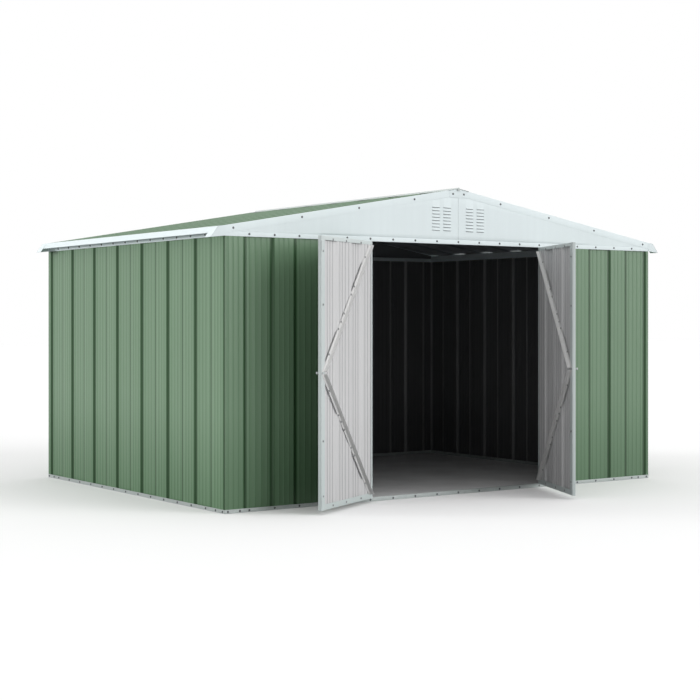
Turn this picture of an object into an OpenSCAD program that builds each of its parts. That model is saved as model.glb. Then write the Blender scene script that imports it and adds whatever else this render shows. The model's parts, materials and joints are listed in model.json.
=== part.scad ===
// Sheet-steel storage shed: ribbed walls in folded rails, a low gable roof and two hinged door leaves.
// The front faces -Y, the ground is at Z = 0 and the origin is under the middle of the doorway,
// on the centre line of the front base rail.

/* [Building] */
// Width over the base rails, from side wall to side wall
shed_w = 3884; // [3600:2:4200]
// Depth over the base rails, from front to back
shed_d = 2790; // [2700:2:2900]
// Height of the walls up to the lower edge of the top rails
wall_h = 1800; // [1750:5:1900]
// Height of the ridge line
ridge_h = 2200; // [2150:5:2350]
// How far the eave trims reach out past the side walls
eave_out = 100; // [90:1:120]

/* [Sheets] */
// Thickness of the rolled sheets and trims
sheet_t = 1; // [0.8:0.1:1.2]
// Spacing of the raised ribs
rib_pitch = 390; // [388:1:392]
// Width of the sunken flat between two ribs
valley_w = 236; // [220:1:240]
// How deep the flats are sunk
rib_depth = 10; // [8:1:14]
// Width of each slanted flank of a rib
flank_w = 14; // [10:1:18]

/* [Rails] */
// Width of the folded rails that the wall sheets stand in
rail_w = 32; // [28:1:36]
// Height of the base rail
base_rail_h = 26; // [24:1:34]
// Height of the rail over the front and back walls
top_rail_h = 32; // [28:1:36]

/* [Doors] */
// Distance from the middle of the doorway to a hinge line
hinge_x = 792; // [760:1:800]
// How far the hinge line stands in front of the rails
hinge_out = 6; // [5:1:8]
// Thickness of a door leaf
leaf_t = 24; // [22:1:30]
// Width of the stile at the free edge of a leaf
free_stile_w = 49; // [40:1:55]
// Width of the stile at the hinge edge of a leaf
hinge_stile_w = 25; // [20:1:30]
// Height of the lower rail of a leaf
leaf_rail_h = 38; // [30:1:45]
// Height of the upper rail of a leaf
leaf_top_rail_h = 26; // [22:1:45]
// Width of both legs of the diagonal braces
brace_w = 25; // [20:1:28]
// Angle at which the left leaf stands open
left_open = 150.5; // [0:0.5:165]
// Angle at which the right leaf stands open
right_open = 65.5; // [0:0.5:165]

/* [Vents] */
// Width of a vent slot
vent_w = 70; // [50:1:80]
// Height of a vent slot
vent_h = 3.5; // [3:0.1:4]
// Number of slots in one column
vent_rows = 8; // [4:1:9]
// Spacing of the slots in a column
vent_pitch = 23.3; // [18:0.1:24]

/* [Hidden] */
$fn = 32;

half_w = shed_w / 2;
half_d = shed_d / 2;
gap = 5;                                // clearance between a leaf and what is around it
wall_in = 2 * sheet_t;                  // the ribs stand this far behind the rails' outer faces
wall_x = half_w - wall_in;              // outer faces of the side walls
wall_y = half_d - wall_in;              // outer faces of the front and back walls
gable_h = wall_h + top_rail_h;          // lower edge of the gable sheets

// Ribs: width of the first raised flat of each wall, counted from the corner or the doorway
side_first = 172;
front_left_first = 141;
front_right_first = 103;
side_front_ribs = 4;
back_pitch = 385;
back_ribs = 5;

// Roof: the roof plane runs along the upper edges of the verge trims
eave_edge_h = wall_h + 68;              // height of that plane over the side rails
roof_fall = (ridge_h - eave_edge_h) / half_w;
slope_a = atan(roof_fall);
roof_out = 45;                          // the roof sheets end this far outside the side walls
ridge_gap = 10;                         // the sheets stop short of the ridge line
slope_len = (half_w + roof_out) / cos(slope_a);
sheet_drop = (sheet_t * 2 + rib_depth) / cos(slope_a);
side_rail_top = roof_z(half_w) - sheet_drop;
verge_leg = 50;
verge_top = 40;
gable_flange = 25;
gable_in = 0.1;                         // the gables stand this far behind the legs of the trims
cap_w = 95;
cap_out = 6;
crown_r = 8;

// Eave: the trim folds down from the edge of the roof
flap_low = wall_h + 18;
flap_t = 1.3 * sheet_t;                 // sheet thickness measured level through the flap
fold_x = half_w + roof_out;
fold_z = roof_z(fold_x) + sheet_t;
cap_low = wall_h - 9;
cap_len = 80;

// Doorway and leaves, in the frame of a closed leaf: its hinge line is at the origin,
// x runs to the free edge and y runs into the shed
jamb_x = hinge_x + gap;
jamb_w = 25;
leaf_start = 4;
leaf_end = hinge_x - 3;
foot_gap = 2;                           // clearance between a leaf and the rails above and below
leaf_low = base_rail_h + foot_gap;
leaf_top = wall_h - foot_gap;
leaf_mid = (leaf_low + leaf_top) / 2;
brace_t = 1.5;
leaf_ribs = 3;
leaf_before = 80;                       // the leaf's sheet is cut from a rolled one that starts here
leaf_first = 13;
hinge_r = 3;
pin_r = 1.5;
pin_play = 0.05;
knuckle_l = 29;
plate_w = 22;
hinge_heights = [260, 915, 1570];
handle_h = leaf_mid;

steel_green = [0.46, 0.57, 0.46];
steel_pale = [0.86, 0.9, 0.9];
steel_zinc = [0.66, 0.7, 0.7];

function roof_z(x) = ridge_h - roof_fall * x;

// Outer line of a ribbed sheet: raised flats at depth 0, sunken flats at rib_depth
function rib_line(first, valleys, length, pitch) = concat([[0, 0]],
    [for (i = [0:valleys - 1], k = [0:3])
        [first + i * pitch + [0, flank_w, valley_w - flank_w, valley_w][k],
         [0, rib_depth, rib_depth, 0][k]]],
    [[length, 0]]);

// The line given its thickness on the inner side
function rib_outline(line, t) = concat(line,
    [for (i = [len(line) - 1:-1:0]) [line[i][0], line[i][1] + t]]);

// Sheet standing upright: x along the wall, y into the shed, ribs outwards
module ribbed_sheet(first, valleys, length, height, pitch = rib_pitch) {
    linear_extrude(height)
        polygon(rib_outline(rib_line(first, valleys, length, pitch), sheet_t));
}

// The same sheet cut out of a longer rolled one that starts before it
module cut_sheet(before, first, valleys, length, height) {
    intersection() {
        translate([-before, 0, 0])
            ribbed_sheet(first, valleys, first + valleys * rib_pitch, height);
        translate([0, -1, -1]) cube([length, rail_w, height + 2]);
    }
}

// Puts a piece drawn for the front, at y = 0, on one side of the footprint
module on_front() { translate([0, -half_d, 0]) children(); }
module on_back() { rotate([0, 0, 180]) translate([0, -half_d, 0]) children(); }
module on_right() { rotate([0, 0, 90]) translate([0, -half_w, 0]) children(); }
module on_left() { rotate([0, 0, -90]) translate([0, -half_w, 0]) children(); }

// Makes the left one of two like pieces from the right one
module both_sides() {
    children();
    mirror([1, 0, 0]) children();
}

// Flat piece in the XZ plane, thick from y0 to y1
module across(y0, y1) {
    translate([0, y1, 0]) rotate([90, 0, 0]) linear_extrude(y1 - y0) children();
}

// Folded U rail, open at the top, with both ends cut to a mitre
module rail(length, height) {
    intersection() {
        difference() {
            translate([-length / 2, 0, 0]) cube([length, rail_w, height]);
            translate([-length, sheet_t, sheet_t])
                cube([2 * length, rail_w - 2 * sheet_t, height]);
        }
        linear_extrude(height) polygon([[-length / 2, 0], [length / 2, 0],
            [length / 2 - rail_w, rail_w], [-length / 2 + rail_w, rail_w]]);
    }
}

module base_rail(length) { color(steel_zinc) rail(length, base_rail_h); }

module top_rail(length, top) {
    color(steel_pale) translate([0, 0, top]) mirror([0, 0, 1]) rail(length, top - wall_h);
}

// The rails over the side walls reach higher, and their ends are notched round the gables
module side_top_rail() {
    difference() {
        top_rail(shed_d, side_rail_top);
        both_sides() translate([half_d - gable_flange, -1, gable_h])
            cube([gable_flange + 1, rail_w + 2, rail_w]);
    }
}

// Folded plates screwed round the four corners of the base rails
module base_corner_brackets() {
    reach = 140;
    low = 3;
    high = base_rail_h - 3;
    color(steel_zinc) both_sides() for (back = [0, 1]) mirror([0, back, 0])
        translate([half_w + sheet_t - reach, -half_d - sheet_t, low]) difference() {
            cube([reach, reach, high - low]);
            translate([-sheet_t, sheet_t, -1]) cube([reach, reach, high]);
        }
}

// Walls: the sheets stand on the web of the base rails and reach up into the top rails
sheet_h = gable_h - 2 * sheet_t;
side_sheet_h = side_rail_top - 2 * sheet_t;
side_split = side_first + side_front_ribs * rib_pitch - (rib_pitch - valley_w) / 2;
side_back_first = (rib_pitch - valley_w) / 2;
front_len = wall_x - sheet_t - jamb_x - sheet_t;
back_len = wall_x - sheet_t;
back_first = back_len - (back_ribs - 1) * back_pitch - valley_w - (back_pitch - valley_w) / 2;

module side_sheet_front() {
    color(steel_green) translate([0, wall_in, sheet_t])
        ribbed_sheet(side_first, side_front_ribs, side_split, side_sheet_h);
}

module side_sheet_back() {
    color(steel_green) translate([side_split, wall_in, sheet_t])
        ribbed_sheet(side_back_first, 3, 2 * wall_y - side_split, side_sheet_h);
}

module front_sheet(first) {
    color(steel_green) translate([0, wall_in, sheet_t])
        cut_sheet(0, first, 3, front_len, sheet_h);
}

// The left wall starts at the front corner, the right wall is the same one turned round
module from_front_left() { on_left() mirror([1, 0, 0]) translate([-wall_y, 0, 0]) children(); }
module left_wall_front() { from_front_left() side_sheet_front(); }
module left_wall_back() { from_front_left() side_sheet_back(); }

module right_wall_back() { rotate([0, 0, 180]) left_wall_front(); }
module right_wall_front() { rotate([0, 0, 180]) left_wall_back(); }

module front_wall_left() {
    on_front() translate([-wall_x + sheet_t, 0, 0]) front_sheet(front_left_first);
}

module front_wall_right() {
    on_front() translate([jamb_x + sheet_t, 0, 0]) front_sheet(front_right_first);
}

module back_sheet() {
    color(steel_green) translate([0, wall_in, sheet_t])
        ribbed_sheet(back_first, back_ribs, back_len, sheet_h, back_pitch);
}

module back_wall_right() { on_back() translate([-wall_x + sheet_t, 0, 0]) back_sheet(); }
module back_wall_left() { on_back() translate([wall_x - sheet_t, 0, 0]) mirror([1, 0, 0]) back_sheet(); }

// Folded channel that closes the wall at the doorway, from base rail to top rail
module door_jamb() {
    color(steel_pale) on_front() translate([jamb_x, sheet_t, sheet_t]) difference() {
        cube([jamb_w, rail_w - 2 * sheet_t, sheet_h]);
        translate([sheet_t, sheet_t, -1])
            cube([jamb_w, rail_w - 4 * sheet_t, sheet_h + 2]);
    }
}

module door_jamb_right() { door_jamb(); }
module door_jamb_left() { mirror([1, 0, 0]) door_jamb(); }

// Gable: a flat sheet with its upper and lower edges folded inwards
module vent_column(x) {
    first_slot = gable_h + 60;
    for (i = [0:vent_rows - 1])
        translate([x - vent_w / 2, -1, first_slot + i * vent_pitch])
            cube([vent_w, sheet_t + 2, vent_h]);
}

module gable_sheet(vents) {
    seam = 0.25;
    top_in = sheet_t / cos(slope_a);
    low = gable_h;
    color(steel_pale) on_front() difference() {
        union() {
            across(gable_in, gable_in + sheet_t) polygon([[seam, low], [half_w, low],
                [half_w, roof_z(half_w) - sheet_drop], [seam, roof_z(seam) - sheet_drop]]);
            across(gable_in, gable_flange) polygon([[seam, roof_z(seam) - sheet_drop],
                [half_w, roof_z(half_w) - sheet_drop],
                [half_w, roof_z(half_w) - sheet_drop - top_in],
                [seam, roof_z(seam) - sheet_drop - top_in]]);
            translate([seam, gable_in, low])
                cube([half_w - seam - rail_w, gable_flange - gable_in, sheet_t]);
        }
        if (vents) {
            vent_column(104);
            vent_column(205);
        }
    }
}

module front_gable_right() { gable_sheet(true); }
module front_gable_left() { mirror([1, 0, 0]) gable_sheet(true); }
module back_gable_left() { rotate([0, 0, 180]) gable_sheet(false); }
module back_gable_right() { rotate([0, 0, 180]) mirror([1, 0, 0]) gable_sheet(false); }

// Small plates over the gable seams, under the ends of the ridge cap
module ridge_plate() {
    half = 80;
    low = ridge_h - 65;
    on_front() translate([-half, -2 * sheet_t, low])
        cube([2 * half, sheet_t, roof_z(half) - 1 - low]);
}

module gable_ridge_plates() {
    color(steel_pale) {
        ridge_plate();
        rotate([0, 0, 180]) ridge_plate();
    }
}

// Pieces on the right slope are drawn level, x down the slope, and tilted into place
module on_slope() { translate([0, 0, ridge_h]) rotate([0, slope_a, 0]) children(); }
// Folded trim over the edge of the roof sheets and down the face of the gable
module verge_trim() {
    trim_len = slope_len - ridge_gap;
    on_slope() translate([ridge_gap, -half_d - sheet_t, 0]) {
        translate([0, 0, -sheet_t]) cube([trim_len, verge_top, sheet_t]);
        translate([0, 0, -verge_leg]) cube([trim_len, sheet_t, verge_leg]);
    }
}

module front_verge_trims() { color(steel_pale) both_sides() verge_trim(); }
module back_verge_trims() { rotate([0, 0, 180]) front_verge_trims(); }

// Roof: ribbed sheets that run from the ridge to the eave
roof_first = 95;
roof_split = roof_first + side_front_ribs * rib_pitch - (rib_pitch - valley_w) / 2;
roof_len = 2 * half_d - 2 * sheet_t;

module roof_sheet(start, first, valleys, width) {
    color(steel_green) on_slope() translate([ridge_gap, -half_d + sheet_t + start, -sheet_t])
        rotate([90, 0, 90]) linear_extrude(slope_len - ridge_gap)
            mirror([0, 1]) polygon(rib_outline(rib_line(first, valleys, width, rib_pitch), sheet_t));
}

module roof_right_front() { roof_sheet(0, roof_first, side_front_ribs, roof_split); }
module roof_right_back() { roof_sheet(roof_split, side_back_first, 3, roof_len - roof_split); }
module roof_left_front() { mirror([1, 0, 0]) roof_right_front(); }
module roof_left_back() { mirror([1, 0, 0]) roof_right_back(); }

// Ridge cap: two flat wings with a rolled crown over the ridge line
module ridge_cap() {
    lift = sheet_t / cos(slope_a);
    end_y = half_d + cap_out;
    color(steel_pale) union() {
        across(-end_y, end_y) polygon([[0, ridge_h], [cap_w, roof_z(cap_w)],
            [cap_w, roof_z(cap_w) + lift], [0, ridge_h + lift],
            [-cap_w, roof_z(cap_w) + lift], [-cap_w, roof_z(cap_w)]]);
        translate([0, end_y, ridge_h]) rotate([90, 0, 0]) cylinder(r = crown_r, h = 2 * end_y);
    }
}

// Eave trim: a leg on the roof sheets, then a flap that hangs down and outwards
function flap_x(z) = fold_x + (fold_z - z) * (eave_out - roof_out) / (fold_z - cap_low);

module eave_trim() {
    leg = 30;
    end_y = half_d + sheet_t;
    color(steel_pale) across(-end_y, end_y) polygon([
        [fold_x - leg, roof_z(fold_x - leg)], [fold_x, roof_z(fold_x)],
        [flap_x(flap_low) - flap_t, flap_low], [flap_x(flap_low), flap_low],
        [fold_x + sheet_t / 2, fold_z], [fold_x - leg, roof_z(fold_x - leg) + sheet_t]]);
}

module eave_trim_right() { eave_trim(); }
module eave_trim_left() { mirror([1, 0, 0]) eave_trim(); }

// Caps over the four ends of the eave trims, each with a plate that closes the end
module eave_corner_cap() {
    start_x = fold_x + sheet_t / 2;
    tip_x = flap_x(cap_low) + sheet_t / 2;
    end_y = half_d + 2 * sheet_t;
    post_x = half_w - 4;
    across(-end_y, -end_y + cap_len) polygon([[start_x, fold_z], [start_x + flap_t, fold_z],
        [tip_x + flap_t, cap_low], [tip_x, cap_low]]);
    across(-end_y, -end_y + sheet_t) polygon([[post_x, wall_h + 2], [post_x, fold_z],
        [start_x + flap_t, fold_z], [tip_x + flap_t, cap_low], [tip_x, cap_low]]);
}

module eave_corner_caps() {
    color(steel_pale) both_sides() {
        eave_corner_cap();
        mirror([0, 1, 0]) eave_corner_cap();
    }
}

// Hinges: the lower knuckle and the pin belong to the jamb, the upper knuckle to the leaf
module jamb_hinge(height) {
    translate([0, 0, height - knuckle_l]) {
        cylinder(r = hinge_r, h = knuckle_l);
        cylinder(r = pin_r, h = 2 * knuckle_l);
        translate([-plate_w, hinge_out, 0]) cube([plate_w - 1, sheet_t, knuckle_l]);
        translate([-hinge_r + 1, 0, 0]) cube([sheet_t, hinge_out + sheet_t, knuckle_l]);
    }
}

module leaf_hinge(height) {
    difference() {
        translate([0, 0, height + 0.5]) {
            cylinder(r = hinge_r, h = knuckle_l);
            translate([0, -sheet_t, 0]) cube([plate_w, sheet_t, knuckle_l]);
        }
        translate([0, 0, height]) cylinder(r = pin_r + pin_play, h = knuckle_l + 2);
    }
}

module at_left_hinge() { translate([-hinge_x, -half_d - hinge_out, 0]) children(); }

module jamb_hinges() {
    color(steel_zinc) both_sides() at_left_hinge() for (h = hinge_heights) jamb_hinge(h);
}

// Door leaf, drawn closed
module leaf_sheet() {
    inset = leaf_t - sheet_t - (rib_depth + sheet_t);
    width = leaf_end - leaf_start - 4 * sheet_t;
    height = leaf_top - leaf_low - 4 * sheet_t;
    color(steel_green) translate([leaf_start + 2 * sheet_t, inset, leaf_low + 2 * sheet_t])
        cut_sheet(leaf_before, leaf_first, leaf_ribs, width, height);
}

module leaf_stile(width) {
    difference() {
        cube([width, leaf_t, leaf_top - leaf_low]);
        translate([sheet_t, sheet_t, -1])
            cube([width, leaf_t - 2 * sheet_t, leaf_top - leaf_low + 2]);
    }
}

module leaf_stiles() {
    color(steel_pale) {
        translate([leaf_start, 0, leaf_low]) leaf_stile(hinge_stile_w);
        translate([leaf_end, 0, leaf_low]) mirror([1, 0, 0]) leaf_stile(free_stile_w);
    }
}

module leaf_rail(rail_h) {
    width = leaf_end - leaf_start - hinge_stile_w - free_stile_w;
    translate([leaf_start + hinge_stile_w, 0, 0]) difference() {
        cube([width, leaf_t, rail_h]);
        translate([-1, sheet_t, sheet_t]) cube([width + 2, leaf_t - 2 * sheet_t, rail_h]);
    }
}

module leaf_rails() {
    color(steel_pale) {
        translate([0, 0, leaf_low]) leaf_rail(leaf_rail_h);
        translate([0, 0, leaf_top]) mirror([0, 0, 1]) leaf_rail(leaf_top_rail_h);
    }
}

// Angle bar from the hinge corner to the free edge at half height, with upright ends
module leaf_brace() {
    foot = [leaf_start + hinge_stile_w + 4, leaf_low + 30];
    head = [leaf_end - free_stile_w + 12, leaf_mid - 8];
    run = head[0] - foot[0];
    rise = head[1] - foot[1];
    across_x = brace_w * sqrt(run * run + rise * rise) / rise;
    edge_x = brace_t * sqrt(run * run + rise * rise) / rise;
    translate([0, leaf_t, 0]) {
        across(0, brace_t) polygon([foot, head, head + [across_x, 0], foot + [across_x, 0]]);
        across(0, brace_w) polygon([foot, head, head + [edge_x, 0], foot + [edge_x, 0]]);
    }
}

module leaf_braces() {
    color(steel_pale) {
        leaf_brace();
        translate([0, 0, 2 * leaf_mid]) mirror([0, 0, 1]) leaf_brace();
    }
}

// Turn handle: a knob on a neck outside, a flat latch inside
module leaf_handle() {
    neck_l = 10;
    knob_l = 8;
    latch = [18, 3, 12];
    color(steel_zinc) translate([leaf_end - 12, 0, handle_h]) {
        rotate([90, 0, 0]) cylinder(r = 4, h = neck_l + 1);
        translate([0, -neck_l, 0]) rotate([90, 0, 0]) cylinder(r = 9, h = knob_l);
        translate([-latch[0] / 2, leaf_t, -latch[2] / 2]) cube(latch);
    }
}

module leaf_hinges() {
    color(steel_zinc) for (h = hinge_heights) leaf_hinge(h);
}

module left_leaf() { at_left_hinge() rotate([0, 0, -left_open]) children(); }
module right_leaf() { mirror([1, 0, 0]) at_left_hinge() rotate([0, 0, -right_open]) children(); }

// The footprint's middle lies behind the origin
module placed() { translate([0, half_d - rail_w / 2, 0]) children(); }

placed() on_front() base_rail(shed_w);  // base_rail_front
placed() on_back() base_rail(shed_w);  // base_rail_back
placed() on_left() base_rail(shed_d);  // base_rail_left
placed() on_right() base_rail(shed_d);  // base_rail_right
placed() base_corner_brackets();
placed() front_wall_left();
placed() front_wall_right();
placed() back_wall_left();
placed() back_wall_right();
placed() left_wall_front();
placed() left_wall_back();
placed() right_wall_front();
placed() right_wall_back();
placed() door_jamb_left();
placed() door_jamb_right();
placed() on_front() top_rail(shed_w, gable_h);  // top_rail_front
placed() on_back() top_rail(shed_w, gable_h);  // top_rail_back
placed() on_left() side_top_rail();  // top_rail_left
placed() on_right() side_top_rail();  // top_rail_right
placed() front_gable_left();
placed() front_gable_right();
placed() back_gable_left();
placed() back_gable_right();
placed() gable_ridge_plates();
placed() front_verge_trims();
placed() back_verge_trims();
placed() roof_left_front();
placed() roof_left_back();
placed() roof_right_front();
placed() roof_right_back();
placed() ridge_cap();
placed() eave_trim_left();
placed() eave_trim_right();
placed() eave_corner_caps();
placed() jamb_hinges();
placed() left_leaf() leaf_sheet();  // left_door_sheet
placed() left_leaf() leaf_stiles();  // left_door_stiles
placed() left_leaf() leaf_rails();  // left_door_rails
placed() left_leaf() leaf_braces();  // left_door_braces
placed() left_leaf() leaf_handle();  // left_door_handle
placed() left_leaf() leaf_hinges();  // left_door_hinges
placed() right_leaf() leaf_sheet();  // right_door_sheet
placed() right_leaf() leaf_stiles();  // right_door_stiles
placed() right_leaf() leaf_rails();  // right_door_rails
placed() right_leaf() leaf_braces();  // right_door_braces
placed() right_leaf() leaf_handle();  // right_door_handle
placed() right_leaf() leaf_hinges();  // right_door_hinges
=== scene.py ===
import json
import math

import bpy
import numpy as np
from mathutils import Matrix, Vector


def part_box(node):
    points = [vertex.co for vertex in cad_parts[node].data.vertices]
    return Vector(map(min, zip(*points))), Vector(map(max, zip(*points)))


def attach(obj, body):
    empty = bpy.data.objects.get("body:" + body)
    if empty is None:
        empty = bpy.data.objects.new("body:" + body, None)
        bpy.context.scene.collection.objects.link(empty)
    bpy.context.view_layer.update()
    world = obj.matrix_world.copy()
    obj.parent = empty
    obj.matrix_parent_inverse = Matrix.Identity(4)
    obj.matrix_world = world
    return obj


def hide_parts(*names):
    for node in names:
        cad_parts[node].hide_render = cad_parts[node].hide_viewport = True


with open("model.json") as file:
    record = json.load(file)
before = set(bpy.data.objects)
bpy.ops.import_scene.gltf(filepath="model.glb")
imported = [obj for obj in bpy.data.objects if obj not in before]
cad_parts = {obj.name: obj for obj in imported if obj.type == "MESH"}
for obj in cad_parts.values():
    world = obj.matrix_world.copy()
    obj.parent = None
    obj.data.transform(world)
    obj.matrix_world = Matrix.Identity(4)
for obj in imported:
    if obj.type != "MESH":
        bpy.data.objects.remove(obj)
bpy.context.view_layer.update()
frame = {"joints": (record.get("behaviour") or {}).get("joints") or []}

# ---------------- viewpoint
# A long lens stands front left of the shed, level with a person's chest and held
# upright, so the walls' uprights stay parallel.
camera = bpy.data.objects.new("camera", bpy.data.cameras.new("camera"))
camera.location = (-6.819, -8.403, 1.255)
camera.rotation_euler = (math.radians(90), 0, math.radians(-34.97))
camera.data.sensor_width = 36
camera.data.lens = 76.95
camera.data.shift_y = -0.0429
bpy.context.scene.collection.objects.link(camera)
bpy.context.scene.camera = camera
bpy.context.scene.view_settings.view_transform = "Standard"

# ---------------- ground and light
# Smooth pale ground under a white sky that is brightest overhead. One soft light comes
# from behind on the left, the other from the front right, low enough for the open leaf
# to shade the wall behind it. Inside the walls the ground is painted a darker, mottled
# grey as shade, without the glow of the open ground.
ground_reach = 60.0
ground_white = 0.85
ground_bounce = 0.35
ground_glow = 0.06
indoor_shade_grey, indoor_shade_mottle = 0.62, 0.5
sky_low, sky_high = 0.38, 1.05
# Name, strength, the side it stands on as (x, y), height and width in degrees
lights = (("back_left", 2.75, (-0.80, 0.60), 4, 24),
          ("front_right", 1.6, (0.60, -0.80), 18, 40))
rail_low, rail_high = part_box("base_rail_front")
rail_half_w = (rail_high.y - rail_low.y) / 2
back_rail_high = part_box("base_rail_back")[1]


def node(tree, kind, inputs=None, **settings):
    """Adds a shader node. Settings are its own properties; inputs are its sockets by name
    or number, linked where the value is a socket and set where it is not."""
    new = tree.nodes.new("ShaderNode" + kind)
    for key, value in settings.items():
        setattr(new, key, value)
    for key, value in (inputs or {}).items():
        if isinstance(value, bpy.types.NodeSocket):
            tree.links.new(value, new.inputs[key])
        else:
            new.inputs[key].default_value = value
    return new


def maths(tree, operation, *values):
    """Result of one Math node on two or three values or sockets."""
    return node(tree, "Math", dict(enumerate(values)), operation=operation).outputs[0]


def seen_directly(tree):
    """1 for the rays that show the backdrop itself: from the eye, a gloss or through glass."""
    rays = node(tree, "LightPath").outputs
    shown = maths(tree, "MAXIMUM", rays["Is Camera Ray"], rays["Is Glossy Ray"])
    return maths(tree, "MAXIMUM", shown, rays["Is Transmission Ray"])


sky = bpy.data.worlds.new("sky")
sky.use_nodes = True
bpy.context.scene.world = sky
tree = sky.node_tree
backdrop = tree.nodes["Background"]
backdrop.inputs["Color"].default_value = (1, 1, 1, 1)
height = node(tree, "SeparateXYZ", {0: node(tree, "TexCoord").outputs["Generated"]}).outputs["Z"]
overhead = maths(tree, "POWER", maths(tree, "MAXIMUM", height, 0.0), 2.0)
strength = maths(tree, "MULTIPLY_ADD", overhead, sky_high, sky_low)
tree.links.new(maths(tree, "MAXIMUM", seen_directly(tree), strength),
               backdrop.inputs["Strength"])

ground_finish = bpy.data.materials.new("ground")
ground_finish.use_nodes = True
tree = ground_finish.node_tree
spot = node(tree, "SeparateXYZ", {0: node(tree, "TexCoord").outputs["Object"]}).outputs
within = maths(tree, "LESS_THAN", maths(tree, "ABSOLUTE", spot["X"]), rail_high.x - rail_half_w)
past_front = maths(tree, "GREATER_THAN", spot["Y"], rail_low.y + rail_half_w)
before_back = maths(tree, "LESS_THAN", spot["Y"], back_rail_high.y - rail_half_w)
indoors = maths(tree, "MULTIPLY", within, maths(tree, "MULTIPLY", past_front, before_back))
outdoors = maths(tree, "SUBTRACT", 1.0, indoors)
mottle = node(tree, "TexNoise", {"Vector": node(tree, "TexCoord").outputs["Object"],
                                 "Scale": 3.0, "Detail": 5.0}).outputs["Fac"]
# Painted shade: a mottled grey for the ground inside the walls
indoor_shade = maths(tree, "MULTIPLY_ADD", mottle, indoor_shade_grey * indoor_shade_mottle,
             indoor_shade_grey * (1 - indoor_shade_mottle / 2))
direct = seen_directly(tree)
open_ground = maths(tree, "MULTIPLY_ADD", direct, ground_white - ground_bounce, ground_bounce)
level = maths(tree, "ADD", maths(tree, "MULTIPLY", indoors, indoor_shade),
              maths(tree, "MULTIPLY", outdoors, open_ground))
shader = tree.nodes["Principled BSDF"]
shader.inputs["Roughness"].default_value = 0.9
shader.inputs["Specular IOR Level"].default_value = 0.1
shader.inputs["Emission Color"].default_value = (1, 1, 1, 1)
tree.links.new(node(tree, "CombineColor", {0: level, 1: level, 2: level}).outputs[0],
               shader.inputs["Base Color"])
tree.links.new(maths(tree, "MULTIPLY", maths(tree, "MULTIPLY", outdoors, ground_glow), direct),
               shader.inputs["Emission Strength"])

reach = np.array([-1.0, 1.0]) * ground_reach
ground_mesh = bpy.data.meshes.new("ground")
ground_mesh.from_pydata([(x, y, 0) for y in reach for x in reach], [], [(0, 1, 3, 2)])
ground_mesh.materials.append(ground_finish)
ground = bpy.data.objects.new("ground", ground_mesh)
bpy.context.scene.collection.objects.link(ground)

for name, strength, (x, y), elevation, spread in lights:
    lamp = bpy.data.lights.new(name, "SUN")
    lamp.energy = strength
    lamp.angle = math.radians(spread)
    holder = bpy.data.objects.new(name, lamp)
    holder.rotation_euler = (math.radians(90 - elevation), 0, math.atan2(x, -y))
    holder.visible_glossy = name != "back_left"  # only the front light gives highlights
    bpy.context.scene.collection.objects.link(holder)

# ---------------- base rails
# U rails of dull galvanised steel, folded from 1 mm strip with a small bend radius. They
# lie on the ground round the footprint with mitred ends, and the sheets stand in them.
steel_t = 0.001
rail_bend = 0.0022
zinc_colour = (0.42, 0.458, 0.45, 1)


def folded(corners, radius, steps=3):
    """Bent line. Each inner corner becomes an arc: with unit legs a and b that turn by t,
    it starts radius * tan(t / 2) before the corner and runs through
    radius * (sin(s) a + (1 - cos(s)) n) for s from 0 to t, n being the normal of a
    on b's side."""
    corners = np.asarray(corners, float)
    legs = np.diff(corners, axis=0)
    legs /= np.linalg.norm(legs, axis=1, keepdims=True)
    a, b = legs[:-1], legs[1:]
    turn = np.arccos(np.clip((a * b).sum(1), -1, 1))
    n = b - a * np.cos(turn)[:, None]
    n /= np.linalg.norm(n, axis=1, keepdims=True)
    start = corners[1:-1] - a * (radius * np.tan(turn / 2))[:, None]
    s = (turn[:, None] * np.linspace(0, 1, steps + 1))[..., None]
    arcs = start[:, None] + radius * (np.sin(s) * a[:, None] + (1 - np.cos(s)) * n[:, None])
    return np.vstack([corners[:1], arcs.reshape(-1, 2), corners[-1:]])


def skin(line, thickness, runs):
    """Closed skin of a bent sheet. The line (n, 2) is one face of it. The other face is the
    line moved to its left, each point by thickness * (n1 + n2) / (1 + n1 . n2), n1 and n2
    being the normals of its two legs. Both faces are carried to every run, (m,) or
    (m, 2n), and quads close the long edges and the ends. Returns the points
    (m * 2n, 3), the quads and each quad's kind: 0 on the line's face, 1 on the other."""
    legs = np.diff(line, axis=0)
    left = np.stack([-legs[:, 1], legs[:, 0]], 1) / np.linalg.norm(legs, axis=1)[:, None]
    before, after = np.vstack([left[:1], left]), np.vstack([left, left[-1:]])
    mitre = (before + after) / (1 + (before * after).sum(1, keepdims=True))
    ring = np.vstack([line, (line + thickness * mitre)[::-1]])
    n, m = len(line), len(runs)
    runs = np.broadcast_to(np.asarray(runs, float).reshape(m, -1), (m, 2 * n))
    points = np.dstack([np.broadcast_to(ring[:, 0], (m, 2 * n)),
                        np.broadcast_to(ring[:, 1], (m, 2 * n)), runs]).reshape(-1, 3)
    at = np.arange(m * 2 * n).reshape(m, 2 * n)
    beside = np.roll(at, -1, axis=1)
    sides = np.stack([at[:-1], beside[:-1], beside[1:], at[1:]], -1).reshape(-1, 4)
    side_kinds = np.tile(np.repeat([0, 1], n), m - 1)
    j = np.arange(n - 1)
    end = np.stack([j, j + 1, 2 * n - 2 - j, 2 * n - 1 - j], 1)
    lids = np.vstack([at[0][end][:, ::-1], at[-1][end]])
    return points, np.vstack([sides, lids]), np.r_[side_kinds, np.zeros(len(lids), int)]


def set_in(shell, origin, first, second, along):
    """Puts a shell in place: origin + p * first + q * second + run * along."""
    points, quads, kinds = shell
    return points @ np.array([first, second, along], float) + np.asarray(origin), quads, kinds


def mirrored(shell):
    """The same shell on the other side of the middle of the shed, x turned to -x."""
    points, quads, kinds = shell
    return points * (-1, 1, 1), quads, kinds


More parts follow.
